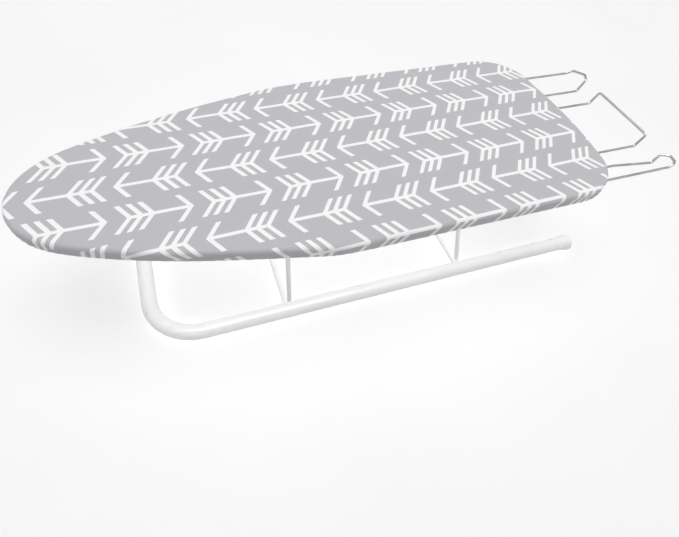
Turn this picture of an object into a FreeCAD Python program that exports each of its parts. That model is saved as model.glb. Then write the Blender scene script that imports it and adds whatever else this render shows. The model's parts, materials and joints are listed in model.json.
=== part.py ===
import FreeCAD, Part
import Sketcher
import math
import os

# Tabletop ironing board: a folding board on a low tubular base, with a wire iron rest that
# slides out of the heel and a separate over-the-door hook.
# Frame: +X runs from the nose to the heel, +Y to the far side, +Z up from the table.
# The origin is on the table, under the middle of the whole object.  Millimetres.

V = FreeCAD.Vector
UP = V(0, 0, 1)
ALONG_X = FreeCAD.Rotation(V(0, 0, 1), V(1, 0, 0))
ALONG_Y = FreeCAD.Rotation(V(0, 0, 1), V(0, 1, 0))

DIMENSIONS = [
    # board outline
    ("board_length", 750.4), ("board_width", 319.0), ("nose_tip_x", -428.0), ("nose_length", 355.2),
    ("nose_fullness", 2.49), ("shoulder_blend", 0.12), ("heel_sag", 15.3), ("heel_corner", 70.5),
    # board layers
    ("board_top", 159.7), ("cover_skirt", 17.5), ("cover_thick", 0.9), ("foam_thick", 5.2),
    ("felt_thick", 1.5), ("layer_gap", 0.05), ("deck_thick", 1.5), ("rim_height", 7.0),
    ("rim_wall", 1.5), ("rim_flange", 11.5), ("rim_inset", 1.2), ("hem_width", 22.0),
    ("hem_gap", 0.3), ("hem_cord_radius", 1.3), ("deck_hole_radius", 11.0),
    ("deck_hole_pitch", 27.0), ("deck_border", 7.0),
    # base
    ("tube_radius", 10.5), ("tube_wall", 1.2), ("foot_height", 1.5), ("runner_y", 130.6),
    ("bend_radius", 61.3), ("cross_tube_x", -311.4), ("runner_end_x", 284.5),
    ("cap_length", 30.0), ("cap_flare", 1.9), ("cap_stem", 18.0), ("cap_shoulder", 0.3),
    ("cap_rounding", 2.2), ("foot_pad", 16.0), ("foot_pad_height", 4.8), ("foot_pad_y", 52.0),
    # legs
    ("front_rod_x", -139.5), ("rear_rod_x", 118.5), ("rod_radius", 3.2), ("rod_reach", 8.6),
    ("leg_wire_radius", 3.0), ("leg_offset", 6.1), ("leg_tail", 4.0), ("leg_foot_y", 116.0),
    ("front_leg_lean", 0.04), ("rear_leg_lean", 0.42), ("leg_bend", 12.0), ("running_gap", 0.05),
    ("open_gap", 0.45),
    # cross rails and pivot brackets
    ("rail_width", 34.0), ("rail_sheet", 1.5), ("front_rail_half", 117.0), ("rear_rail_half", 133.0),
    ("bracket_width", 16.0), ("bracket_y", 40.0), ("bracket_flange", 9.0), ("bracket_sheet", 1.5),
    ("rivet_radius", 1.6), ("rivet_head", 3.2), ("rivet_head_height", 1.1),
    # iron rest
    ("rest_wire_radius", 1.8), ("rest_height", 139.5), ("rest_kink_x", 403.8), ("rest_rise", 18.0),
    ("rest_inner_x", 242.0), ("guide_x", 250.0), ("guide_half", 132.5), ("guide_drop", 14.4),
    ("guide_sheet", 2.0), ("guide_flange", 12.0), ("guide_play", 0.3),
    # door hook
    ("hook_width", 20.0), ("hook_sheet", 2.0), ("door_gap", 38.0), ("hook_drop", 106.0),
    ("hook_flap", 33.0), ("hook_x", -290.0), ("hook_y", 38.0), ("hook_overlap", 18.0),
    ("hook_bend", 3.0), ("hook_play", 0.4), ("hook_rivet_radius", 1.5), ("hook_rivet_head", 2.6),
    ("hook_head_height", 0.9),
]

doc = FreeCAD.newDocument("tabletop_ironing_board")
sheet = doc.addObject("Spreadsheet::Sheet", "Dimensions")
for row, (alias, value) in enumerate(DIMENSIONS, start=1):
    sheet.set("A%d" % row, alias)
    sheet.set("B%d" % row, str(value))
    sheet.setAlias("B%d" % row, alias)
doc.recompute()

nodes = []


def dim(alias):
    return float(sheet.get(alias))


def bind(obj, **expressions):
    """Bind properties of a document object to the spreadsheet."""
    for prop, expression in expressions.items():
        words = expression.replace("(", " ( ").replace(")", " ) ").split()
        names = {alias for alias, _ in DIMENSIONS}
        text = " ".join("Dimensions." + word if word in names else word for word in words)
        obj.setExpression(prop.replace("__", "."), text)


def keep(obj):
    nodes.append(obj)
    return obj


# ---------------------------------------------------------------- levels worked out from the sheet

tube_z = dim("foot_height") + dim("tube_radius")
heel_x = dim("nose_tip_x") + dim("board_length")
hem_bottom = dim("board_top") - dim("cover_skirt")
felt_bottom = dim("board_top") - dim("cover_thick") - dim("foam_thick") - dim("felt_thick")
felt_bottom -= 3 * dim("layer_gap")
deck_top = felt_bottom - dim("layer_gap")
deck_bottom = deck_top - dim("deck_thick")
rim_bottom = deck_top - dim("rim_height")
pivot_z = rim_bottom - dim("leg_wire_radius") - 2 * dim("running_gap")
leg_length = pivot_z - tube_z
bracket_reach = (dim("leg_wire_radius") + dim("running_gap") + dim("bracket_sheet")
                 + dim("bracket_flange"))
bracket_top = rim_bottom - 0.02


# ---------------------------------------------------------------- shared shapes

def outline(inset):
    """Board outline in the XY plane: round nose, soft shoulders, straight sides, bowed heel."""
    tip = dim("nose_tip_x") + inset
    nose = dim("nose_length") - inset
    half = dim("board_width") / 2 - inset
    heel = heel_x - inset
    corner = dim("heel_corner") - inset
    sag = dim("heel_sag")
    steps = 6
    blend = dim("shoulder_blend")
    side = []
    for i in range(1, steps + 1):
        run = (1 - blend) * math.sin(math.pi / 2 * i / steps) ** 2
        side.append((tip + nose * run, half * run ** (1 / dim("nose_fullness"))))
    side.append((tip + nose * (1 + blend), half))
    points = [V(x, y, 0) for x, y in reversed(side)] + [V(tip, 0, 0)] + [V(x, -y, 0) for x, y in side]
    curve = Part.BSplineCurve()
    curve.interpolate(Points=points, InitialTangent=V(-1, 0, 0), FinalTangent=V(1, 0, 0))
    bow = (half ** 2 + sag ** 2) / (2 * sag)
    bow_x = heel - bow
    corner_x = bow_x + math.sqrt((bow - corner) ** 2 - (half - corner) ** 2)
    turn = math.atan2(half - corner, corner_x - bow_x)
    middle = (math.pi / 2 + turn) / 2

    def corner_point(angle, side_sign):
        return V(corner_x + corner * math.cos(angle),
                 side_sign * (half - corner + corner * math.sin(angle)), 0)

    edges = [curve.toShape(),
             Part.makeLine(V(side[-1][0], -half, 0), V(corner_x, -half, 0)),
             Part.Arc(V(corner_x, -half, 0), corner_point(middle, -1), corner_point(turn, -1)).toShape(),
             Part.Arc(corner_point(turn, -1), V(heel, 0, 0), corner_point(turn, 1)).toShape(),
             Part.Arc(corner_point(turn, 1), corner_point(middle, 1), V(corner_x, half, 0)).toShape(),
             Part.makeLine(V(corner_x, half, 0), V(side[-1][0], half, 0))]
    return Part.Wire(Part.__sortEdges__(edges))


def board_slab(inset, low, high):
    slab = Part.Face(outline(inset)).extrude(UP * (high - low))
    slab.translate(UP * low)
    return slab


def board_ring(outer, inner, low, high):
    return board_slab(outer, low, high).cut(board_slab(inner, low - 1, high + 1))


def route(points, radii):
    """Straight runs through the points, joined by tangent arcs of the given radii."""
    edges = []
    start = points[0]
    for before, corner, after, radius in zip(points, points[1:], points[2:], radii):
        arrive = (corner - before).normalize()
        leave = (after - corner).normalize()
        turn = arrive.getAngle(leave)
        setback = radius * math.tan(turn / 2)
        first = corner - arrive * setback
        last = corner + leave * setback
        centre_way = (leave - arrive).normalize()
        reach = radius / math.cos(turn / 2) - radius
        edges.append(Part.LineSegment(start, first))
        edges.append(Part.Arc(first, corner + centre_way * reach, last))
        start = last
    edges.append(Part.LineSegment(start, points[-1]))
    return edges


def bent_wire(points, radii, radius):
    """A round wire along a route in space."""
    spine = Part.Wire([edge.toShape() for edge in route(points, radii)])
    way = (points[1] - points[0]).normalize()
    circle = Part.Wire(Part.makeCircle(radius, points[0], way))
    return spine.makePipeShell([circle], True, False)


def feature(name, shape):
    obj = doc.addObject("Part::Feature", name)
    obj.Shape = shape
    return keep(obj)


def new_body(name):
    body = doc.addObject("PartDesign::Body", name)
    body.Label = name
    return body


def new_sketch(body, name, plane, offset=None):
    sketch = body.newObject("Sketcher::SketchObject", name)
    support = [f for f in body.Origin.OriginFeatures if f.Role == plane][0]
    sketch.AttachmentSupport = (support, [""])
    sketch.MapMode = "FlatFace"
    if offset:
        sketch.AttachmentOffset = FreeCAD.Placement(offset, FreeCAD.Rotation())
    return sketch


def add_circle(sketch, name, radius, x="0", y="0"):
    """A circle whose centre and radius follow the spreadsheet."""
    index = sketch.addGeometry(Part.Circle(V(1, 1, 0), UP, 1), False)
    for kind, label, value in (("DistanceX", "x_", x), ("DistanceY", "y_", y)):
        number = sketch.addConstraint(Sketcher.Constraint(kind, -1, 1, index, 3, 1))
        sketch.renameConstraint(number, label + name)
        bind(sketch, **{"Constraints." + label + name: value})
    number = sketch.addConstraint(Sketcher.Constraint("Radius", index, 1))
    sketch.renameConstraint(number, "radius_" + name)
    bind(sketch, **{"Constraints.radius_" + name: radius})


def add_polygon(sketch, points):
    closed = points + points[:1]
    for first, last in zip(closed, closed[1:]):
        sketch.addGeometry(Part.LineSegment(V(*first, 0), V(*last, 0)), False)
    count = len(points)
    for i in range(count):
        sketch.addConstraint(Sketcher.Constraint("Coincident", i, 2, (i + 1) % count, 1))


def pad(body, sketch, length, midplane=True):
    solid = body.newObject("PartDesign::Pad", "Pad_" + body.Name)
    solid.Profile = sketch
    bind(solid, Length=length)
    solid.Midplane = midplane
    body.Tip = solid
    return solid


def drill(body, sketch, length=None):
    """Cut a sketch both ways from its plane, right through the body or over a length."""
    hole = body.newObject("PartDesign::Pocket", "Pocket_" + body.Name + str(len(body.Group)))
    hole.Profile = sketch
    if length:
        bind(hole, Length=length)
    else:
        hole.Type = "ThroughAll"
    hole.Midplane = True
    body.Tip = hole
    return hole


# ---------------------------------------------------------------- base

def base_tube():
    """One planar U of round tube, its inner walls drilled for the two pivot rods."""
    body = new_body("base_tube")
    y = dim("runner_y")
    end, cross = dim("runner_end_x"), dim("cross_tube_x")
    path = new_sketch(body, "base_route", "XY_Plane", V(0, 0, tube_z))
    corners = [V(end, -y, 0), V(cross, -y, 0), V(cross, y, 0), V(end, y, 0)]
    path.addGeometry(route(corners, [dim("bend_radius")] * 2), False)
    section = new_sketch(body, "base_section", "YZ_Plane", V(0, 0, end))
    add_circle(section, "outer", "tube_radius", "- runner_y", "foot_height + tube_radius")
    add_circle(section, "inner", "tube_radius - tube_wall", "- runner_y", "foot_height + tube_radius")
    doc.recompute()
    pipe = body.newObject("PartDesign::AdditivePipe", "Pipe_base")
    pipe.Profile = section
    pipe.Spine = (path, ["Edge%d" % (i + 1) for i in range(path.GeometryCount)])
    body.Tip = pipe
    doc.recompute()
    solid_volume = pipe.Shape.Volume
    holes = new_sketch(body, "rod_holes", "XZ_Plane")
    for name in ("front", "rear"):
        add_circle(holes, name, "rod_radius + running_gap", name + "_rod_x", "foot_height + tube_radius")
    drill(body, holes, "2 * runner_y")
    doc.recompute()
    assert body.Shape.Volume < solid_volume
    keep(body)


def end_cap(name, side):
    """Plastic plug: a stem inside the tube and a flared head with a flat foot on the table."""
    body = new_body(name)
    stem, depth = dim("tube_radius") - dim("tube_wall") - dim("running_gap"), dim("cap_stem")
    collar, head = dim("tube_radius") + dim("cap_shoulder"), dim("tube_radius") + dim("cap_flare")
    length, rounding = dim("cap_length"), dim("cap_rounding")
    chamfer = dim("tube_wall") / 2
    profile = new_sketch(body, name + "_profile", "XY_Plane")
    add_polygon(profile, [(-depth, 0), (-depth, stem - chamfer), (chamfer - depth, stem), (0, stem),
                          (0, collar), (length * 0.45, collar), (length * 0.7, head),
                          (length - rounding, head), (length, head - rounding), (length, 0)])
    turned = body.newObject("PartDesign::Revolution", "Revolution_" + name)
    turned.Profile = profile
    turned.ReferenceAxis = (profile, ["H_Axis"])
    turned.Angle = 360
    body.Tip = turned
    foot = new_sketch(body, name + "_foot", "YZ_Plane")
    add_polygon(foot, [(-head, -tube_z), (head, -tube_z), (head, -2 * tube_z), (-head, -2 * tube_z)])
    drill(body, foot)
    body.Placement = FreeCAD.Placement(V(dim("runner_end_x"), side * dim("runner_y"), tube_z),
                                       FreeCAD.Rotation())
    keep(body)


def foot_pad(name, side):
    """Rubber pad under the cross tube, hollowed to the tube and flat on the table."""
    block = doc.addObject("Part::Box", name + "_block")
    bind(block, Length="foot_pad", Width="foot_pad", Height="foot_pad_height")
    block.Placement.Base = V(dim("cross_tube_x") - dim("foot_pad") / 2,
                             side * dim("foot_pad_y") - dim("foot_pad") / 2, 0)
    tube = doc.addObject("Part::Cylinder", name + "_seat")
    bind(tube, Radius="tube_radius + running_gap", Height="foot_pad * 3")
    tube.Placement = FreeCAD.Placement(V(dim("cross_tube_x"), side * dim("foot_pad_y")
                                         - dim("foot_pad") * 1.5, tube_z), ALONG_Y)
    foot = doc.addObject("Part::Cut", name)
    foot.Base, foot.Tool = block, tube
    keep(foot)


# ---------------------------------------------------------------- legs

def cross_rod(name, x):
    """Pivot rod under each leg frame, its ends held inside the two runners."""
    rod = doc.addObject("Part::Cylinder", name)
    bind(rod, Radius="rod_radius", Height="2 * ( runner_y + rod_reach )")
    half_length = dim("runner_y") + dim("rod_reach")
    rod.Placement = FreeCAD.Placement(V(x, -half_length, tube_z), ALONG_Y)
    keep(rod)


def leg_wire(name, x, rod_x, lean):
    """Wire leg frame: a top bar in the board's brackets and two arms welded beside the rod."""
    body = new_body(name)
    foot, low = dim("leg_foot_y"), tube_z - dim("leg_tail")
    top = foot - lean * (pivot_z - low)
    path = new_sketch(body, name + "_route", "YZ_Plane", V(0, 0, x))
    corners = [V(-foot, low, 0), V(-top, pivot_z, 0), V(top, pivot_z, 0), V(foot, low, 0)]
    path.addGeometry(route(corners, [dim("leg_bend")] * 2), False)
    section = body.newObject("Sketcher::SketchObject", name + "_section")
    way = (V(0, -top, pivot_z) - V(0, -foot, low)).normalize()
    section.Placement = FreeCAD.Placement(V(x, -foot, low), FreeCAD.Rotation(UP, way))
    add_circle(section, "wire", "leg_wire_radius")
    doc.recompute()
    pipe = body.newObject("PartDesign::AdditivePipe", "Pipe_" + name)
    pipe.Profile = section
    pipe.Spine = (path, ["Edge%d" % (i + 1) for i in range(path.GeometryCount)])
    body.Tip = pipe
    seat = new_sketch(body, name + "_weld_seat", "XZ_Plane")
    add_circle(seat, "rod", "rod_radius", str(rod_x), "foot_height + tube_radius")
    drill(body, seat)
    keep(body)


# ---------------------------------------------------------------- board structure

def rim_frame():
    """Rolled steel rim: an upright wall with an inward flange."""
    wall = board_ring(dim("rim_inset"), dim("rim_inset") + dim("rim_wall"), rim_bottom, deck_top)
    flange = board_ring(dim("rim_inset") + dim("rim_wall") / 2,
                        dim("rim_inset") + dim("rim_wall") + dim("rim_flange"),
                        rim_bottom, rim_bottom + dim("rim_wall"))
    feature("rim_frame", wall.fuse(flange).removeSplitter())


def mesh_deck():
    """Perforated steel deck inside the rim."""
    inset = dim("rim_inset") + dim("rim_wall") + dim("layer_gap")
    pitch, radius = dim("deck_hole_pitch"), dim("deck_hole_radius")
    row_pitch = pitch * math.sin(math.pi / 3)
    border = Part.Face(outline(inset + radius + dim("deck_border")))
    holes = []
    rows = int(dim("board_width") / row_pitch) + 1
    columns = int(dim("board_length") / pitch) + 1
    for row in range(-rows // 2, rows // 2 + 1):
        for column in range(columns):
            x = dim("nose_tip_x") + pitch * (column + 0.5 * (row % 2))
            centre = V(x, row * row_pitch, 0)
            if border.isInside(centre, 0.01, True):
                holes.append(Part.Wire(Part.makeCircle(radius, centre)))
    face = Part.Face([outline(inset)] + holes)
    face.validate()
    deck = face.extrude(UP * dim("deck_thick"))
    deck.translate(UP * deck_bottom)
    feature("mesh_deck", deck)


def cross_rail(name, x, half_length):
    """Pressed channel under the deck that carries a pair of pivot brackets."""
    body = new_body(name)
    half, sheet_thick = dim("rail_width") / 2, dim("rail_sheet")
    low, high = rim_bottom, deck_bottom
    section = new_sketch(body, name + "_section", "XZ_Plane")
    add_polygon(section, [(x - half, low), (x + half, low), (x + half, high),
                          (x + half - sheet_thick, high), (x + half - sheet_thick, low + sheet_thick),
                          (x - half + sheet_thick, low + sheet_thick), (x - half + sheet_thick, high),
                          (x - half, high)])
    pad(body, section, "2 * " + half_length)
    holes = new_sketch(body, name + "_rivet_holes", "XY_Plane")
    for index, (dx, y) in enumerate(rivet_places()):
        add_circle(holes, "hole%d" % index, "rivet_radius + running_gap", str(x + dx), str(y))
    drill(body, holes)
    keep(body)


def rivet_places():
    """Rivets of one leg's brackets: distance from the leg along X, and y."""
    middle = bracket_reach - dim("bracket_flange") / 2
    return [(dx, y) for y in (-dim("bracket_y"), dim("bracket_y")) for dx in (-middle, middle)]


def pivot_bracket(name, x, side, gap):
    """Saddle of folded sheet that holds a leg's top bar up against the cross rail."""
    body = new_body(name)
    inner = dim("leg_wire_radius") + gap
    outer = inner + dim("bracket_sheet")
    reach, top = bracket_reach, bracket_top
    flange = top - dim("bracket_sheet")
    section = new_sketch(body, name + "_section", "XZ_Plane")
    lines = [((x - reach, top), (x - inner, top)), ((x - inner, top), (x - inner, pivot_z)),
             ((x + inner, pivot_z), (x + inner, top)), ((x + inner, top), (x + reach, top)),
             ((x + reach, top), (x + reach, flange)), ((x + reach, flange), (x + outer, flange)),
             ((x + outer, flange), (x + outer, pivot_z)), ((x - outer, pivot_z), (x - outer, flange)),
             ((x - outer, flange), (x - reach, flange)), ((x - reach, flange), (x - reach, top))]
    section.addGeometry([Part.LineSegment(V(*a, 0), V(*b, 0)) for a, b in lines], False)
    for radius in (inner, outer):
        section.addGeometry(Part.Arc(V(x - radius, pivot_z, 0), V(x, pivot_z - radius, 0),
                                     V(x + radius, pivot_z, 0)), False)
    pad(body, section, "bracket_width")
    holes = new_sketch(body, name + "_rivet_holes", "XY_Plane")
    for index, (dx, y) in enumerate(rivet_places()[:2]):
        add_circle(holes, "hole%d" % index, "rivet_radius + running_gap", str(x + dx), "0")
    drill(body, holes)
    body.Placement = FreeCAD.Placement(V(0, side * dim("bracket_y"), 0), FreeCAD.Rotation())
    keep(body)


def bracket_rivets():
    """Rivets through bracket flange and cross rail, two for each bracket."""
    solids = []
    low = bracket_top - dim("bracket_sheet")
    high = rim_bottom + dim("rail_sheet")
    radius, wide, height = dim("rivet_radius"), dim("rivet_head"), dim("rivet_head_height")
    for x in (dim("front_rod_x") + dim("leg_offset"), dim("rear_rod_x") + dim("leg_offset")):
        for dx, y in rivet_places():
            shank = Part.makeCylinder(radius, high - low, V(x + dx, y, low))
            head = Part.makeCone(wide * 0.6, wide, height, V(x + dx, y, low - height))
            clinch = Part.makeCone(wide * 0.9, wide * 0.7, height, V(x + dx, y, high))
            solids.append(shank.fuse([head, clinch]).removeSplitter())
    feature("bracket_rivets", Part.makeCompound(solids))


def guide_slots():
    """Where the three loops pass the guide: y from, y to."""
    edge = dim("guide_half") - dim("guide_sheet")
    return [(-edge, -102.0), (-81.0, 38.0), (62.0, 123.0)]


def rest_guide():
    """Slotted angle under the deck that the iron rest's wires run through."""
    half, thick, drop = dim("guide_half"), dim("guide_sheet"), dim("guide_drop")
    x = dim("guide_x") - thick / 2
    plate = Part.makeBox(thick, 2 * half, drop, V(x, -half, deck_bottom - drop))
    flange = Part.makeBox(dim("guide_flange"), 2 * half, thick, V(x, -half, deck_bottom - thick))
    reach = dim("rest_wire_radius") + dim("guide_play")
    slots = [Part.makeBox(3 * thick, high_y - low_y, 2 * reach,
                          V(x - thick, low_y, dim("rest_height") - reach))
             for low_y, high_y in guide_slots()]
    feature("rest_guide", plate.fuse(flange).cut(slots).removeSplitter())


# ---------------------------------------------------------------- soft layers

def soft_layers():
    """Felt, foam and the cover with its gathered hem and hem cord, as plain closed solids."""
    inset, gap = dim("rim_inset"), dim("layer_gap")
    foam_low = felt_bottom + dim("felt_thick") + gap
    feature("felt_underlay", board_slab(inset, felt_bottom, felt_bottom + dim("felt_thick")))
    feature("foam_pad", board_slab(inset, foam_low, foam_low + dim("foam_thick")))
    top, skin = dim("board_top"), dim("cover_thick")
    shell = board_slab(0, hem_bottom, top).cut(board_slab(skin, hem_bottom - 1, top - skin))
    feature("cover", shell)
    hem_outer = skin + 2 * gap
    hem_inner = hem_outer + dim("hem_width")
    feature("cover_hem", board_ring(hem_outer, hem_inner, hem_bottom, rim_bottom - dim("hem_gap")))
    radius = dim("hem_cord_radius")
    path = outline(hem_inner + radius + 2 * dim("hem_gap"))
    path.translate(UP * (hem_bottom + radius + dim("hem_gap")))
    start = path.Edges[0]
    way = start.tangentAt(start.FirstParameter)
    circle = Part.Wire(Part.makeCircle(radius, start.valueAt(start.FirstParameter), way))
    feature("hem_cord", path.makePipeShell([circle], True, False))


# ---------------------------------------------------------------- iron rest

def rest_near_loop():
    """Narrow outer loop: its neck kinks up and the end curls back down to the straight leg."""
    x, z = dim("rest_kink_x"), dim("rest_height")
    start = dim("rest_inner_x")
    return [V(start, -105.3, z), V(x - 62, -105.3, z), V(x - 1, -113.8, z), V(x + 9, -112.3, z + 11),
            V(x + 19, -119.3, z + 13), V(x + 27, -128.6, z + 6), V(x + 17, -128.6, z),
            V(start, -128.6, z)], [30, 5, 5, 6, 4, 4]


def rest_middle_loop():
    """Wide middle loop with its whole end bar raised."""
    x, z = dim("rest_kink_x"), dim("rest_height")
    start, rise = dim("rest_inner_x"), dim("rest_rise")
    near, far = -75.8, 32.7
    return [V(start, far, z), V(x, far, z), V(x + 10, far, z + rise), V(x + 10, near, z + rise),
            V(x, near, z), V(start, near, z)], [5, 4, 4, 5]


def rest_far_loop():
    """Outer loop on the far side, half as wide as the middle one."""
    x, z = dim("rest_kink_x"), dim("rest_height")
    start = dim("rest_inner_x")
    return [V(start, 67.2, z), V(x, 67.2, z), V(x + 14, 71.7, z + 16), V(x + 22, 85.7, z + 15),
            V(x + 25, 114.7, z + 5), V(x + 15, 117.7, z), V(start, 117.7, z)], [5, 7, 10, 6, 6]


REST_LOOPS = [("rest_loop_near", rest_near_loop), ("rest_loop_middle", rest_middle_loop),
              ("rest_loop_far", rest_far_loop)]


def iron_rest():
    radius = dim("rest_wire_radius")
    for name, loop in REST_LOOPS:
        points, radii = loop()
        feature(name, bent_wire(points, radii, radius))
    bar_x = dim("rest_inner_x") + 1.5 * radius
    bar_z = dim("rest_height") + 2 * radius
    low_y, high_y = -131.0, 120.0
    bar = Part.makeCylinder(radius, high_y - low_y, V(bar_x, low_y, bar_z), V(0, 1, 0))
    feature("rest_cross_bar", bar)


# ---------------------------------------------------------------- door hook

def strip(points, radii, thick):
    """A flat strip standing on its edge, bent along a plan route."""
    spine = Part.Wire([edge.toShape() for edge in route(points, radii)])
    across = UP.cross((points[1] - points[0]).normalize()) * (thick / 2)
    height = UP * dim("hook_width")
    corners = [points[0] - across, points[0] + across, points[0] + across + height,
               points[0] - across + height]
    section = Part.makePolygon(corners + corners[:1])
    return spine.makePipeShell([section], True, False)


def door_hook():
    """Over-the-door hook, stored on its side between the runners: strap, tube clip and rivets."""
    thick = dim("hook_sheet")
    tube = dim("tube_radius") + dim("hook_play")
    x, y = dim("hook_x") + tube + 2 * thick, dim("hook_y")
    end = x + dim("hook_drop")
    back = y - thick - dim("door_gap")
    bend = dim("hook_bend")
    strap_points = [V(x - 4, y, 0), V(end, y, 0), V(end, back, 0), V(end - dim("hook_flap"), back, 0)]
    strap = strip(strap_points, [bend, bend], thick)
    # the clip runs along the strap's other face and curls round the tube
    gap = 0.02
    face = y + thick + gap
    seat = tube + thick / 2
    lip = face + 2 * seat
    clip_points = [V(x + dim("hook_overlap"), face, 0), V(x - seat, face, 0), V(x - seat, lip, 0),
                   V(x + tube * 0.8, lip, 0)]
    clip = strip(clip_points, [seat * 0.98, seat * 0.98], thick)
    rivets = []
    pin_radius, head_radius = dim("hook_rivet_radius"), dim("hook_rivet_head")
    head = dim("hook_head_height")
    along_y = V(0, 1, 0)
    for z in (dim("hook_width") * 0.28, dim("hook_width") * 0.72):
        place = V(x + dim("hook_overlap") * 0.55, y - thick / 2 - head, z)
        stack = 2 * thick + gap
        pin = Part.makeCylinder(pin_radius, stack + 2 * head, place, along_y)
        strap, clip = strap.cut(pin), clip.cut(pin)
        heads = [Part.makeCylinder(head_radius, head, place, along_y),
                 Part.makeCylinder(head_radius, head, place + along_y * (stack + head), along_y)]
        rivets.append(pin.fuse(heads).removeSplitter())
    feature("hook_strap", strap)
    feature("hook_clip", clip)
    feature("hook_rivets", Part.makeCompound(rivets))


# ---------------------------------------------------------------- assembly

base_tube()
for side_name, side_sign in (("near", -1), ("far", 1)):
    end_cap("end_cap_" + side_name, side_sign)
    foot_pad("foot_pad_" + side_name, side_sign)
for end_name in ("front", "rear"):
    rod_x = dim(end_name + "_rod_x")
    leg_x = rod_x + dim("leg_offset")
    cross_rod(end_name + "_cross_rod", rod_x)
    leg_wire(end_name + "_leg_wire", leg_x, rod_x, dim(end_name + "_leg_lean"))
    cross_rail(end_name + "_cross_rail", leg_x, end_name + "_rail_half")
    pivot_gap = dim("running_gap") if end_name == "front" else dim("open_gap")
    for side_name, side_sign in (("near", -1), ("far", 1)):
        pivot_bracket(end_name + "_bracket_" + side_name, leg_x, side_sign, pivot_gap)
bracket_rivets()
rim_frame()
mesh_deck()
rest_guide()
soft_layers()
iron_rest()
door_hook()
doc.recompute()

for obj in doc.Objects:
    if "Invalid" in obj.State or "Error" in obj.State:
        raise RuntimeError("%s did not compute: %s" % (obj.Label, obj.State))
for obj in nodes:
    if obj.Shape.isNull() or not obj.Shape.isValid() or not obj.Shape.Solids:
        raise RuntimeError("%s is not a valid solid" % obj.Label)

os.makedirs("parts", exist_ok=True)
for obj in nodes:
    obj.Shape.exportStep("parts/%s.step" % obj.Label)
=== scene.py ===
"""Looks of the tabletop ironing board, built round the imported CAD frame.  Metres, +Z up."""
import json
import math

import bpy
import numpy as np
from mathutils import Matrix, Vector


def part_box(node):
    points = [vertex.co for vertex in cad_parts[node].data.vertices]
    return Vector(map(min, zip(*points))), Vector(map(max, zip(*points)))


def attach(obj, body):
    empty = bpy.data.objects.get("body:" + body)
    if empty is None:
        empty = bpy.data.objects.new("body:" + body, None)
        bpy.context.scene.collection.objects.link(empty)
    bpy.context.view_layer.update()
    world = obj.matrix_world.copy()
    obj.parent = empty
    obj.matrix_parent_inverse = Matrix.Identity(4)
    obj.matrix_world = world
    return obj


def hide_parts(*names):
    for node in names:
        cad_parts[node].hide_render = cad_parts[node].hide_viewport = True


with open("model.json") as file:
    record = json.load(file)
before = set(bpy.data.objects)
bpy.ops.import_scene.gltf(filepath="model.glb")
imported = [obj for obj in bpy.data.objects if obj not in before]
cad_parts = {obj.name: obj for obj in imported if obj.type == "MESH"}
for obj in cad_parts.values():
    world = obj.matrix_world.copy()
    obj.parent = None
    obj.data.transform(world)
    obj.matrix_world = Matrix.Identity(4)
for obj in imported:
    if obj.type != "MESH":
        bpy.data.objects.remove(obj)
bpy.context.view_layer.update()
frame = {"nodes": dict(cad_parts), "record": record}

MM = 0.001
IMAGE_WIDTH = 679

# ---------------------------------------------------------------- camera

COVER_LOW, COVER_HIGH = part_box("cover")
NOSE_X, HEEL_X = COVER_LOW.x, COVER_HIGH.x
TOP_Z = COVER_HIGH.z

# where the viewer stands, measured from the tip of the nose on the table
EYE_FROM_NOSE = Vector((0.2043, -0.4657, 0.5634))
YAW, PITCH, ROLL = 1.144, 0.920, 0.121
FOCAL_PIXELS = 480.6


def make_camera():
    """The photograph's viewpoint: heading, downward pitch and roll of a plain pinhole camera."""
    data = bpy.data.cameras.new("camera")
    camera = bpy.data.objects.new("camera", data)
    bpy.context.scene.collection.objects.link(camera)
    look = Vector((math.cos(YAW) * math.cos(PITCH), math.sin(YAW) * math.cos(PITCH), -math.sin(PITCH)))
    right = Vector((math.sin(YAW), -math.cos(YAW), 0))
    up = right.cross(look)
    right_rolled = right * math.cos(ROLL) + up * math.sin(ROLL)
    up_rolled = up * math.cos(ROLL) - right * math.sin(ROLL)
    turn = Matrix((right_rolled, up_rolled, -look)).transposed().to_4x4()
    camera.matrix_world = Matrix.Translation(Vector((NOSE_X, 0, 0)) + EYE_FROM_NOSE) @ turn
    data.sensor_width = 36
    data.lens = FOCAL_PIXELS / IMAGE_WIDTH * data.sensor_width
    data.clip_start, data.clip_end = 0.01, 50
    bpy.context.scene.camera = camera


make_camera()


# ---------------------------------------------------------------- node materials

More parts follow.
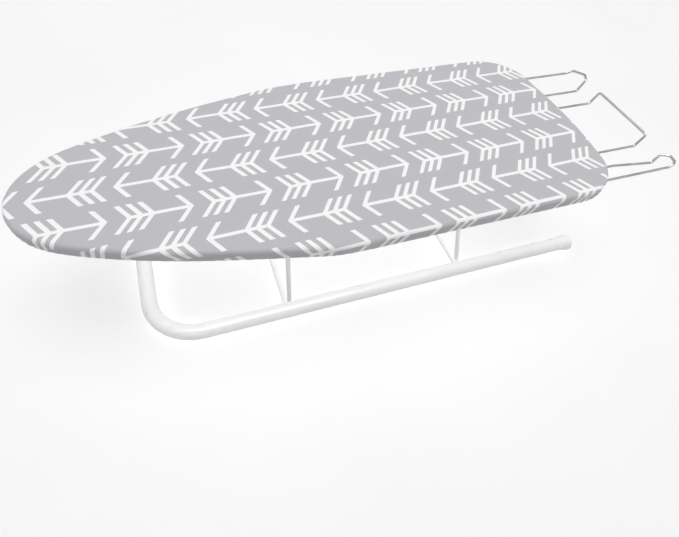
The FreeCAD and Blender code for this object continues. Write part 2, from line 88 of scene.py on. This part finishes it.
class Nodes:
    """A short way to write a node tree: each call adds one node and returns its first output."""

    def __init__(self, name):
        self.material = bpy.data.materials.new(name)
        self.material.use_nodes = True
        self.tree = self.material.node_tree
        self.shader = self.tree.nodes["Principled BSDF"]

    def put(self, socket, value):
        if isinstance(value, bpy.types.NodeSocket):
            self.tree.links.new(value, socket)
        elif value is not None:
            socket.default_value = value

    def set(self, **values):
        for name, value in values.items():
            self.put(self.shader.inputs[name.replace("_", " ")], value)

    def math(self, operation, a, b=None, c=None):
        node = self.tree.nodes.new("ShaderNodeMath")
        node.operation = operation
        for socket, value in zip(node.inputs, (a, b, c)):
            self.put(socket, value)
        return node.outputs[0]

    def add(self, a, b):
        return self.math("ADD", a, b)

    def sub(self, a, b):
        return self.math("SUBTRACT", a, b)

    def mul(self, a, b):
        return self.math("MULTIPLY", a, b)

    def coords(self):
        return self.tree.nodes.new("ShaderNodeTexCoord").outputs["Object"]

    def uv(self, name):
        node = self.tree.nodes.new("ShaderNodeUVMap")
        node.uv_map = name
        return node.outputs[0]

    def scaled(self, vector, scale):
        node = self.tree.nodes.new("ShaderNodeMapping")
        node.inputs["Scale"].default_value = scale
        self.put(node.inputs["Vector"], vector)
        return node.outputs[0]

    def split(self, vector):
        node = self.tree.nodes.new("ShaderNodeSeparateXYZ")
        self.put(node.inputs[0], vector)
        return node.outputs

    def noise(self, vector, scale, detail=2.0, roughness=0.5, distortion=0.0):
        node = self.tree.nodes.new("ShaderNodeTexNoise")
        self.put(node.inputs["Vector"], vector)
        for name, value in (("Scale", scale), ("Detail", detail), ("Roughness", roughness),
                            ("Distortion", distortion)):
            node.inputs[name].default_value = value
        return node.outputs[0]

    def voronoi(self, vector, scale, feature="F1"):
        node = self.tree.nodes.new("ShaderNodeTexVoronoi")
        node.feature = feature
        self.put(node.inputs["Vector"], vector)
        node.inputs["Scale"].default_value = scale
        return node.outputs

    def mix(self, factor, a, b):
        node = self.tree.nodes.new("ShaderNodeMix")
        node.data_type = "RGBA"
        self.put(node.inputs[0], factor)
        self.put(node.inputs[6], a)
        self.put(node.inputs[7], b)
        return node.outputs[2]

    def span(self, value, low, high, to_low=0.0, to_high=1.0):
        node = self.tree.nodes.new("ShaderNodeMapRange")
        for socket, number in zip(node.inputs, (value, low, high, to_low, to_high)):
            self.put(socket, number)
        return node.outputs[0]

    def bump(self, height, strength, distance, normal=None):
        node = self.tree.nodes.new("ShaderNodeBump")
        node.inputs["Strength"].default_value = strength
        node.inputs["Distance"].default_value = distance
        self.put(node.inputs["Height"], height)
        if normal is not None:
            self.put(node.inputs["Normal"], normal)
        return node.outputs[0]


def grey(value, warmth=0.0):
    return (value + warmth, value, value - warmth, 1)


# layout of the arrow print, in millimetres on the flat cloth
ARROW_PERIOD = 98.2
ROW_SPACING = 53.6
MIDDLE_ROW = 1.8
FIRST_APEX_LEFTWARD = 24.5
FIRST_APEX_RIGHTWARD = 115.8
STROKE_SLOPE = 0.70
STROKE_WIDTH = 6.4
STROKE_REACH = 21.1
SHAFT_WIDTH = 4.8
SHAFT_END = 74.5
FLETCHES = (44.3, 57.4, 70.5)
PRINT_TURN = 0.019
PRINT_SKEW = 0.046
PRINT_CENTRE = 369.0
# the cloth is pulled a little longer towards the nose than towards the heel
PRINT_GROWTH = 1.038
PRINT_SQUEEZE = 6.8e-5
# how far the ink strays at the edge of a stroke
PRINT_WANDER = 0.9


def arrow_print(n):
    """1 on the white arrows and 0 on the ground: rows of arrows that point to alternate ends."""
    place = n.uv("print")
    x, y, _ = n.split(n.scaled(place, (1 / MM, 1 / MM, 1)))
    wander = n.mul(n.sub(n.noise(place, 900, 2), 0.5), PRINT_WANDER)
    pulled = n.mul(x, n.add(n.mul(x, PRINT_SQUEEZE), PRINT_GROWTH))
    along = n.sub(pulled, n.mul(y, PRINT_SKEW))
    across = n.sub(n.sub(y, n.mul(n.sub(x, PRINT_CENTRE), PRINT_TURN)), MIDDLE_ROW)
    row = n.math("ROUND", n.math("DIVIDE", across, ROW_SPACING))
    off_shaft = n.add(n.math("ABSOLUTE", n.sub(across, n.mul(row, ROW_SPACING))), wander)
    odd = n.math("FLOORED_MODULO", row, 2.0)
    leftward = n.math("FLOORED_MODULO", n.sub(along, FIRST_APEX_LEFTWARD), ARROW_PERIOD)
    rightward = n.math("FLOORED_MODULO", n.sub(FIRST_APEX_RIGHTWARD, along), ARROW_PERIOD)
    behind_apex = n.add(n.mul(leftward, n.sub(1.0, odd)), n.mul(rightward, odd))
    slant = n.sub(behind_apex, n.mul(off_shaft, STROKE_SLOPE))
    shaft = n.mul(n.math("LESS_THAN", off_shaft, SHAFT_WIDTH / 2),
                  n.mul(n.math("LESS_THAN", behind_apex, SHAFT_END),
                        n.math("GREATER_THAN", behind_apex, STROKE_WIDTH / 2)))
    strokes = None
    for start in (0.0,) + FLETCHES:
        middle = start + STROKE_WIDTH / 2
        stroke = n.math("COMPARE", slant, middle, STROKE_WIDTH / 2)
        strokes = stroke if strokes is None else n.math("MAXIMUM", strokes, stroke)
    strokes = n.mul(strokes, n.math("LESS_THAN", off_shaft, STROKE_REACH))
    return n.math("MAXIMUM", shaft, strokes)


THREADS_PER_METRE = 1500


def weave(n, place, threads_per_metre):
    """Plain weave height: warp and weft threads over each other."""
    x, y, _ = n.split(n.scaled(place, (threads_per_metre * math.pi,) * 3))
    warp = n.math("SINE", x)
    weft = n.math("SINE", y)
    return n.mul(warp, weft)


def cotton(name):
    """Printed plain-weave cotton: slubs, faint blotches and the arrows in white ink."""
    n = Nodes(name)
    place = n.uv("print")
    threads = weave(n, place, THREADS_PER_METRE)
    slub = n.noise(n.scaled(place, (1, 9, 1)), 420, 3, 0.6)
    blotch = n.noise(place, 14, 3, 0.55)
    ground = n.mix(n.span(slub, 0.3, 0.7), (0.475, 0.475, 0.500, 1), (0.545, 0.545, 0.570, 1))
    ground = n.mix(n.span(blotch, 0.3, 0.7, 0.0, 0.35), ground, (0.53, 0.53, 0.55, 1))
    ink = n.mix(n.span(slub, 0.3, 0.7), (0.90, 0.90, 0.90, 1), (0.96, 0.96, 0.96, 1))
    n.set(Base_Color=n.mix(arrow_print(n), ground, ink), Roughness=n.span(slub, 0.2, 0.8, 0.82, 0.95))
    n.set(Sheen_Weight=0.18, Sheen_Roughness=0.5, Specular_IOR_Level=0.25)
    fine = n.bump(threads, 0.35, 0.00012)
    n.set(Normal=n.bump(slub, 0.25, 0.0004, fine))
    return n.material


def powder_coat(name, low, high, roughness=0.33, peel=0.12):
    """Powder-coated steel: fine orange peel, a little uneven gloss, thin dust in the colour."""
    n = Nodes(name)
    place = n.coords()
    cloud = n.noise(place, 18, 3, 0.6)
    fine = n.noise(place, 900, 2, 0.5)
    n.set(Base_Color=n.mix(n.span(cloud, 0.35, 0.65), low, high))
    n.set(Roughness=n.span(n.noise(place, 60, 3, 0.6), 0.3, 0.7, roughness - 0.07, roughness + 0.08))
    n.set(Coat_Weight=0.25, Coat_Roughness=0.2)
    n.set(Normal=n.bump(fine, peel, 0.0003))
    return n.material


def plastic(name, low, high, roughness, grain):
    """Moulded plastic or rubber with a fine grain."""
    n = Nodes(name)
    place = n.coords()
    n.set(Base_Color=n.mix(n.span(n.noise(place, 45, 3), 0.35, 0.65), low, high))
    n.set(Roughness=n.span(n.noise(place, 130, 3), 0.3, 0.7, roughness - 0.06, roughness + 0.08))
    n.set(Normal=n.bump(n.noise(place, 1800, 2), grain, 0.0002))
    return n.material


def chrome(name):
    """Drawn and plated wire: long faint draw lines and a slightly uneven polish."""
    n = Nodes(name)
    place = n.coords()
    lines = n.noise(n.scaled(place, (30, 900, 900)), 1.0, 2, 0.6)
    n.set(Base_Color=n.mix(n.span(n.noise(place, 40, 2), 0.3, 0.7), (0.36, 0.36, 0.37, 1),
                           (0.50, 0.50, 0.51, 1)))
    n.set(Metallic=1.0)
    n.set(Roughness=n.span(lines, 0.3, 0.7, 0.16, 0.30))
    n.set(Normal=n.bump(lines, 0.15, 0.0001))
    return n.material


def zinc(name):
    """Zinc-plated sheet: faint crystal spangle and rubbed roughness."""
    n = Nodes(name)
    place = n.coords()
    crystals = n.voronoi(place, 260)
    n.set(Base_Color=n.mix(n.span(crystals[0], 0.0, 0.8), (0.50, 0.51, 0.53, 1), (0.68, 0.69, 0.70, 1)))
    n.set(Metallic=1.0)
    n.set(Roughness=n.span(n.noise(place, 220, 3, 0.6), 0.3, 0.7, 0.28, 0.46))
    n.set(Normal=n.bump(crystals[0], 0.12, 0.0001))
    return n.material


def felt(name, low, high):
    """Needled felt: stretched fibres over slow clumps."""
    n = Nodes(name)
    place = n.coords()
    fibres = n.noise(n.scaled(place, (1, 1.7, 1)), 650, 5, 0.7, 2.5)
    clumps = n.noise(place, 55, 4, 0.6)
    n.set(Base_Color=n.mix(n.span(n.add(n.mul(fibres, 0.6), n.mul(clumps, 0.4)), 0.35, 0.65), low, high))
    n.set(Roughness=n.span(fibres, 0.3, 0.7, 0.88, 0.99))
    n.set(Sheen_Weight=0.3, Specular_IOR_Level=0.15)
    n.set(Normal=n.bump(fibres, 0.5, 0.0008))
    return n.material


def foam(name):
    """Open-cell foam: small rounded cells."""
    n = Nodes(name)
    place = n.coords()
    cells = n.voronoi(place, 900, "SMOOTH_F1")[0]
    n.set(Base_Color=n.mix(n.span(cells, 0.1, 0.6), (0.60, 0.57, 0.47, 1), (0.82, 0.79, 0.68, 1)))
    n.set(Roughness=n.span(cells, 0.0, 0.6, 0.85, 0.97))
    n.set(Normal=n.bump(cells, 0.6, 0.0006))
    return n.material


def braid(name):
    """Braided elastic: slanting ribs round the cord."""
    n = Nodes(name)
    x, y, z = n.split(n.coords())
    ribs = n.math("SINE", n.mul(n.add(n.add(x, y), n.mul(z, 1.5)), 3500.0))
    n.set(Base_Color=n.mix(n.span(ribs, -1, 1), (0.62, 0.62, 0.61, 1), (0.88, 0.88, 0.86, 1)))
    n.set(Roughness=n.span(ribs, -1, 1, 0.75, 0.9))
    n.set(Normal=n.bump(ribs, 0.5, 0.0003))
    return n.material


MATERIALS = {
    "cover_cotton": cotton("cover_cotton"),
    "white_paint": powder_coat("white_paint", grey(0.92), grey(0.95, -0.002)),
    "hook_paint": powder_coat("hook_paint", grey(0.78), grey(0.84, -0.005), 0.38),
    "deck_steel": powder_coat("deck_steel", grey(0.46), grey(0.55, -0.01), 0.42, 0.2),
    "white_plastic": plastic("white_plastic", grey(0.91), grey(0.94, 0.002), 0.42, 0.08),
    "foot_rubber": plastic("foot_rubber", grey(0.60), grey(0.68, 0.004), 0.75, 0.3),
    "chrome_wire": chrome("chrome_wire"),
    "zinc_steel": zinc("zinc_steel"),
    "felt": felt("felt", (0.66, 0.65, 0.61, 1), (0.80, 0.79, 0.75, 1)),
    "foam": foam("foam"),
    "cord": braid("cord"),
}
HIDDEN_BY_PIECES = ("cover", "cover_hem", "hem_cord", "foam_pad", "felt_underlay")

for part in frame["record"]["subparts"]:
    if part["node"] not in HIDDEN_BY_PIECES:
        for slot in frame["nodes"][part["node"]].material_slots:
            slot.material = MATERIALS[part["material_slot"]]


# ---------------------------------------------------------------- board outline from the frame

def convex_outline(points):
    """Counter-clockwise hull of plan points."""
    points = sorted({(round(float(x), 6), round(float(y), 6)) for x, y in points})

    def half(sequence):
        chain = []
        for p in sequence:
            while len(chain) > 1 and ((chain[-1][0] - chain[-2][0]) * (p[1] - chain[-2][1])
                                      - (chain[-1][1] - chain[-2][1]) * (p[0] - chain[-2][0])) <= 0:
                chain.pop()
            chain.append(p)
        return chain[:-1]

    return np.array(half(points) + half(points[::-1]))


def smooth_ring(values, passes):
    """Even out a closed row of values with its neighbours."""
    for _ in range(passes):
        values = 0.25 * np.roll(values, 1, axis=0) + 0.5 * values + 0.25 * np.roll(values, -1, axis=0)
    return values


AROUND = 1440
OUTLINE_PASSES = 12
CURVED_PASSES = 60
# turning of the outline, in radians per metre, that counts as fully curved
FULL_TURNING = 18
# the middle line that the innermost ring closes on stops short of both ends
SPINE_FROM_NOSE, SPINE_FROM_HEEL = 0.055, 0.11
INNER_RING, SPINE_INSET, LAST_RING = 0.035, 0.152, 0.150
verts = np.array([v.co for v in frame["nodes"]["cover"].data.vertices])
HULL = convex_outline(verts[:, :2])
closed = np.vstack([HULL, HULL[:1]])
lengths = np.concatenate([[0], np.cumsum(np.linalg.norm(np.diff(closed, axis=0), axis=1))])
PERIMETER = lengths[-1]
ARC = np.arange(AROUND) / AROUND * PERIMETER
EDGE = np.stack([np.interp(ARC, lengths, closed[:, i]) for i in (0, 1)], axis=1)
EDGE = smooth_ring(EDGE, OUTLINE_PASSES)
tangent = np.roll(EDGE, -1, axis=0) - np.roll(EDGE, 1, axis=0)
tangent /= np.linalg.norm(tangent, axis=1, keepdims=True)
OUT = smooth_ring(np.stack([tangent[:, 1], -tangent[:, 0]], axis=1), OUTLINE_PASSES)
OUT /= np.linalg.norm(OUT, axis=1, keepdims=True)
turning = np.linalg.norm(np.roll(OUT, -1, axis=0) - np.roll(OUT, 1, axis=0), axis=1)
turning /= np.linalg.norm(np.roll(EDGE, -1, axis=0) - np.roll(EDGE, 1, axis=0), axis=1)
CURVED = smooth_ring(np.clip(turning / FULL_TURNING, 0, 1), CURVED_PASSES)[:, None]
SPINE_X = np.clip(EDGE[:, 0], NOSE_X + SPINE_FROM_NOSE, HEEL_X - SPINE_FROM_HEEL)
SPINE = np.stack([SPINE_X, np.zeros(AROUND)], axis=1)


def plan_ring(inset):
    """Outline moved in by inset; past the inner ring it closes on the board's long middle line."""
    if inset <= INNER_RING:
        return EDGE - OUT * inset
    share = (inset - INNER_RING) / (SPINE_INSET - INNER_RING)
    return (EDGE - OUT * INNER_RING) * (1 - share) + SPINE * share


def ring_mesh(name, rings, cap_first=False, cap_last=False, loop=False):
    """Quads between rings of AROUND points; rings is a list of (AROUND, 3) arrays."""
    count = len(rings)
    points = np.concatenate(rings)
    faces = []
    for r in range(count if loop else count - 1):
        a, b = r * AROUND, (r + 1) % count * AROUND
        for i in range(AROUND):
            j = (i + 1) % AROUND
            faces.append((a + i, b + i, b + j, a + j))
    if cap_first:
        faces += middle_cap(points[:AROUND], 0, True)
    if cap_last:
        faces += middle_cap(points[-AROUND:], (count - 1) * AROUND, False)
    mesh = bpy.data.meshes.new(name)
    mesh.from_pydata(points.tolist(), [], faces)
    mesh.validate()
    mesh.shade_smooth()
    obj = bpy.data.objects.new(name, mesh)
    bpy.context.scene.collection.objects.link(obj)
    return obj


def middle_cap(ring, start, flip):
    """Close a thin ring by joining its near side to its far side, station by station."""
    near = [i for i in range(AROUND) if EDGE[i, 1] < 0]
    far = [i for i in range(AROUND) if EDGE[i, 1] >= 0]
    near.sort(key=lambda i: EDGE[i, 0])
    far.sort(key=lambda i: EDGE[i, 0])
    faces = []
    a = b = 0
    while a < len(near) - 1 or b < len(far) - 1:
        step_near = b == len(far) - 1 or (
            a < len(near) - 1 and EDGE[near[a + 1], 0] <= EDGE[far[b + 1], 0])
        face = (near[a], near[a + 1], far[b]) if step_near else (near[a], far[b + 1], far[b])
        a, b = (a + 1, b) if step_near else (a, b + 1)
        face = tuple(start + i for i in face)
        faces.append(face if flip else face[::-1])
    return faces


rng = np.random.default_rng(7)


def ring_noise(waves):
    """Periodic random curve round the outline, from -1 to 1."""
    phase = np.arange(AROUND) / AROUND * 2 * math.pi
    total = np.zeros(AROUND)
    for k in waves:
        total += rng.normal() * np.sin(k * phase + rng.uniform(0, 2 * math.pi))
    return (total / max(1e-9, np.abs(total).max()))[:, None]


# ---------------------------------------------------------------- cover with its gathered hem

HEM_LOW, HEM_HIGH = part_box("cover_hem")
HEM_WIDTH = 22 * MM
EDGE_ROUND = 5.5 * MM
FOOT_ROUND = 2.6 * MM
CASING = 1.3 * MM
ELASTIC_RADIUS = 0.95 * MM
CLOTH = 0.6 * MM
CLOTH_BELOW_TOP = 0.3 * MM
CLOTH_ABOVE_HEM = 0.35 * MM
EDGE_FALL = 0.5 * MM
SKIRT_TUCK = 0.3 * MM
HIGHEST_GATHER = 1.7 * MM
PLEAT_PITCH = 0.0105
CASING_RISE = CASING * 1.1

pleat_phase = np.cumsum(0.8 + 0.25 * ring_noise(range(20, 60))[:, 0] + 0.35 * CURVED[:, 0])
pleat_phase *= 2 * math.pi * round(pleat_phase[-1] / AROUND * PERIMETER / PLEAT_PITCH) / pleat_phase[-1]
PLEATS = np.sin(pleat_phase)[:, None] * (0.7 + 0.3 * ring_noise(range(15, 45)))
FINE_PLEATS = np.sin(pleat_phase * 2 + 3 * ring_noise(range(5, 25))[:, 0])[:, None]
SLACK = ring_noise(range(3, 14))


def crown(plan):
    """Slow unevenness of the padding under the cloth."""
    x, y = plan[:, 0:1], plan[:, 1:2]
    return (0.25 * np.sin(x * 23 + 1.0) * np.cos(y * 31 + 0.4) + 0.18 * np.sin(x * 61 + y * 37 + 2.0)
            + 0.10 * np.sin(x * 113 - y * 89)) * MM


def build_cover():
    """The cloth from the crown over the edge, down the skirt and under into the gathered casing."""
    rings, prints = [], []
    top, low = TOP_Z - CLOTH_BELOW_TOP, HEM_LOW.z + CLOTH_ABOVE_HEM

    def ring(inset, height, unrolled, push=0.0, lift=0.0):
        """One ring: inset and height of the cloth, and how far past the edge it lies when flat."""
        plan = plan_ring(inset) + OUT * push
        rings.append(np.hstack([plan, np.full((AROUND, 1), height) + lift]))
        flat = plan_ring(inset) if unrolled <= 0 else EDGE - OUT * EDGE_ROUND + OUT * unrolled
        prints.append(flat)

    for share in np.linspace(1, 0, 16)[:-1]:
        inset = INNER_RING + (LAST_RING - INNER_RING) * share
        ring(inset, top, 0, lift=crown(plan_ring(inset)))
    for inset in np.linspace(INNER_RING, EDGE_ROUND, 10)[:-1]:
        fall = EDGE_FALL * (1 - (inset - EDGE_ROUND) / (INNER_RING - EDGE_ROUND)) ** 2
        ring(inset, top - fall, 0, lift=crown(plan_ring(inset)))
    fall = EDGE_FALL
    for angle in np.linspace(0, math.pi / 2, 9):
        inset = EDGE_ROUND * (1 - math.sin(angle))
        ring(inset, top - fall - EDGE_ROUND * (1 - math.cos(angle)), 0.01 * MM + EDGE_ROUND * angle,
             lift=crown(plan_ring(inset)) * (1 - angle / math.pi))
    walked = EDGE_ROUND * math.pi / 2
    high = top - fall - EDGE_ROUND
    foot = low + FOOT_ROUND
    for share in np.linspace(0, 1, 10)[1:]:
        pucker = (0.10 + 0.55 * CURVED) * share ** 1.6 * PLEATS * MM * 0.9
        ease = -(0.5 + 0.5 * SLACK) * 0.8 * MM * math.sin(math.pi * share * 0.8)
        walked_here = walked + (high - foot) * share
        ring(SKIRT_TUCK * share, high - (high - foot) * share, walked_here, push=pucker + ease)
    walked += high - foot
    for angle in np.linspace(0, math.pi / 2, 7)[1:]:
        gather = (0.18 + 0.62 * CURVED) * PLEATS * MM
        ring(SKIRT_TUCK + FOOT_ROUND * (1 - math.cos(angle)), foot - FOOT_ROUND * math.sin(angle),
             walked + FOOT_ROUND * angle, push=gather * math.cos(angle) * 0.9,
             lift=np.abs(gather) * math.sin(angle))
    walked += FOOT_ROUND * math.pi / 2
    start = SKIRT_TUCK + FOOT_ROUND
    for share in np.linspace(0, 1, 13)[1:]:
        depth = (0.35 + 0.75 * share) * (0.45 + 0.75 * CURVED)
        lift = (depth * (0.75 + 0.75 * PLEATS) + 0.25 * share * FINE_PLEATS * (1 - PLEATS ** 2)) * MM
        ring(start + (HEM_WIDTH - start) * share, low, walked + (HEM_WIDTH - start) * share,
             push=0.35 * MM * share * FINE_PLEATS, lift=np.clip(lift, 0, HIGHEST_GATHER))
    walked += HEM_WIDTH - start
    centre = HEM_WIDTH + CASING
    for angle in np.linspace(-math.pi / 2, math.pi * 1.25, 12)[1:]:
        swell = CASING * (1 + 0.16 * PLEATS)
        plan = EDGE - OUT * (centre + swell * math.cos(angle))
        lift = swell * math.sin(angle)
        rings.append(np.hstack([plan, np.full((AROUND, 1), low + CASING_RISE) + lift]))
        prints.append(EDGE - OUT * EDGE_ROUND + OUT * (walked + CASING * (angle + math.pi / 2)))
    cover = ring_mesh("cover_sheet", rings, cap_first=True)
    layer = cover.data.uv_layers.new(name="print")
    flat = np.concatenate(prints)
    flat = np.stack([flat[:, 0] - NOSE_X, flat[:, 1]], axis=1)
    corner = np.zeros(len(cover.data.loops), dtype=np.int32)
    cover.data.loops.foreach_get("vertex_index", corner)
    layer.data.foreach_set("uv", flat[corner].astype(np.float32).ravel())
    cover.data.materials.append(MATERIALS["cover_cotton"])
    skin = cover.modifiers.new("thickness", "SOLIDIFY")
    skin.thickness = CLOTH
    skin.offset = -1
    return cover, walked


cover, flat_reach = build_cover()
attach(cover, "board")
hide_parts("cover", "cover_hem")


# ---------------------------------------------------------------- hem cord, foam and felt

def tube_round_board(name, inset, height, radius, sides, wobble):
    """A closed tube that follows the outline, moved in by inset."""
    rings = []
    for k in range(sides):
        angle = 2 * math.pi * k / sides
        plan = EDGE - OUT * (inset + radius * math.cos(angle)) + OUT * wobble
        rings.append(np.hstack([plan, np.full((AROUND, 1), height + radius * math.sin(angle))]))
    return ring_mesh(name, rings, loop=True)


hem_elastic = tube_round_board("hem_elastic", HEM_WIDTH + CASING, HEM_LOW.z + CLOTH_ABOVE_HEM + CASING_RISE,
                               ELASTIC_RADIUS, 10, 0.1 * MM * PLEATS)
hem_elastic.data.materials.append(MATERIALS["cord"])
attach(hem_elastic, "board")
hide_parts("hem_cord")


def slab(name, node, shrink, round_by, dimple, material):
    """A soft sheet of the CAD slab's size with rounded edges and an uneven face."""
    low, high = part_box(node)
    rings = []
    insets = [INNER_RING + (LAST_RING - INNER_RING) * s for s in np.linspace(1, 0, 20)]
    insets += [INNER_RING * s for s in np.linspace(1, 0.2, 8)[1:]]
    for inset in insets:
        plan = plan_ring(inset)
        rings.append(np.hstack([plan, high.z - 0.15 * MM + dimple * crown(plan)]))
    for angle in np.linspace(0, math.pi, 9):
        inset = shrink + round_by * (1 - math.sin(angle))
        height = (high.z + low.z) / 2 + (high.z - low.z - 0.3 * MM) / 2 * math.cos(angle)
        rings.append(np.hstack([plan_ring(inset), np.full((AROUND, 1), height)]))
    for inset in insets[::-1]:
        plan = plan_ring(inset)
        rings.append(np.hstack([plan, low.z + 0.15 * MM + dimple * np.abs(crown(plan * 3))]))
    obj = ring_mesh(name, rings, cap_first=True, cap_last=True)
    obj.data.materials.append(MATERIALS[material])
    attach(obj, "board")
    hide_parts(node)


slab("foam_sheet", "foam_pad", 4.5 * MM, 2.2 * MM, 0.3, "foam")
slab("felt_sheet", "felt_underlay", 3.5 * MM, 0.7 * MM, 0.3, "felt")


# ---------------------------------------------------------------- stage and light

FLOOR_REACH = 6.0
# brightness at the horizon and overhead, and the height at which it stops rising
DOME_LOW, DOME_HIGH, DOME_FULL = 0.60, 0.95, 0.7
# share of the dome that lights matt surfaces, so the floor stays nearly free of shadow
DOME_ON_MATT = 0.04
TOP_LIGHT, TOP_LIGHT_PLACE, TOP_LIGHT_SIZE = 34, (0.2, 0.5, 3.2), (3.0, 2.4)
FILL_LIGHT, FILL_SPREAD, FILL_TILT = 2.2, 0.5, (math.radians(6), math.radians(4), 0)


def make_stage():
    """A plain pale floor."""
    mesh = bpy.data.meshes.new("floor")
    corners = [(x * FLOOR_REACH, y * FLOOR_REACH, 0) for x, y in ((-1, -1), (1, -1), (1, 1), (-1, 1))]
    mesh.from_pydata(corners, [], [(0, 1, 2, 3)])
    floor = bpy.data.objects.new("floor", mesh)
    bpy.context.scene.collection.objects.link(floor)
    n = Nodes("floor")
    place = n.coords()
    n.set(Base_Color=n.mix(n.span(n.noise(place, 3, 2), 0.3, 0.7), grey(0.92), grey(0.94)))
    n.set(Roughness=0.9)
    floor.data.materials.append(n.material)


def area_light(name, place, aim, size, power):
    data = bpy.data.lights.new(name, "AREA")
    data.shape = "RECTANGLE"
    data.size, data.size_y = size
    data.energy = power
    lamp = bpy.data.objects.new(name, data)
    bpy.context.scene.collection.objects.link(lamp)
    lamp.location = place
    lamp.rotation_mode = "QUATERNION"
    lamp.rotation_quaternion = (Vector(aim) - Vector(place)).to_track_quat("-Z", "Y")


def make_light():
    """A broad lamp overhead, a fill without shadow, and a pale dome seen mostly in the gloss."""
    scene = bpy.context.scene
    scene.view_settings.view_transform = "Standard"
    world = bpy.data.worlds.new("studio")
    scene.world = world
    world.use_nodes = True
    tree = world.node_tree
    height = tree.nodes.new("ShaderNodeSeparateXYZ")
    tree.links.new(tree.nodes.new("ShaderNodeTexCoord").outputs["Generated"], height.inputs[0])
    dome = tree.nodes.new("ShaderNodeMapRange")
    dome.interpolation_type = "SMOOTHSTEP"
    for socket, value in zip(dome.inputs[1:], (0.0, DOME_FULL, DOME_LOW, DOME_HIGH)):
        socket.default_value = value
    tree.links.new(height.outputs[2], dome.inputs[0])
    background = tree.nodes["Background"]
    background.inputs["Color"].default_value = (1, 1, 1, 1)
    soften = tree.nodes.new("ShaderNodeMapRange")
    soften.inputs["To Min"].default_value = 1.0
    soften.inputs["To Max"].default_value = DOME_ON_MATT
    tree.links.new(tree.nodes.new("ShaderNodeLightPath").outputs["Is Diffuse Ray"], soften.inputs[0])
    strength = tree.nodes.new("ShaderNodeMath")
    strength.operation = "MULTIPLY"
    tree.links.new(dome.outputs[0], strength.inputs[0])
    tree.links.new(soften.outputs[0], strength.inputs[1])
    tree.links.new(strength.outputs[0], background.inputs["Strength"])
    area_light("top_light", TOP_LIGHT_PLACE, (0, 0, 0), TOP_LIGHT_SIZE, TOP_LIGHT)
    fill = bpy.data.lights.new("fill_light", "SUN")
    fill.energy = FILL_LIGHT
    fill.angle = FILL_SPREAD
    fill.use_shadow = False
    lamp = bpy.data.objects.new("fill_light", fill)
    scene.collection.objects.link(lamp)
    lamp.rotation_euler = FILL_TILT


make_stage()
make_light()
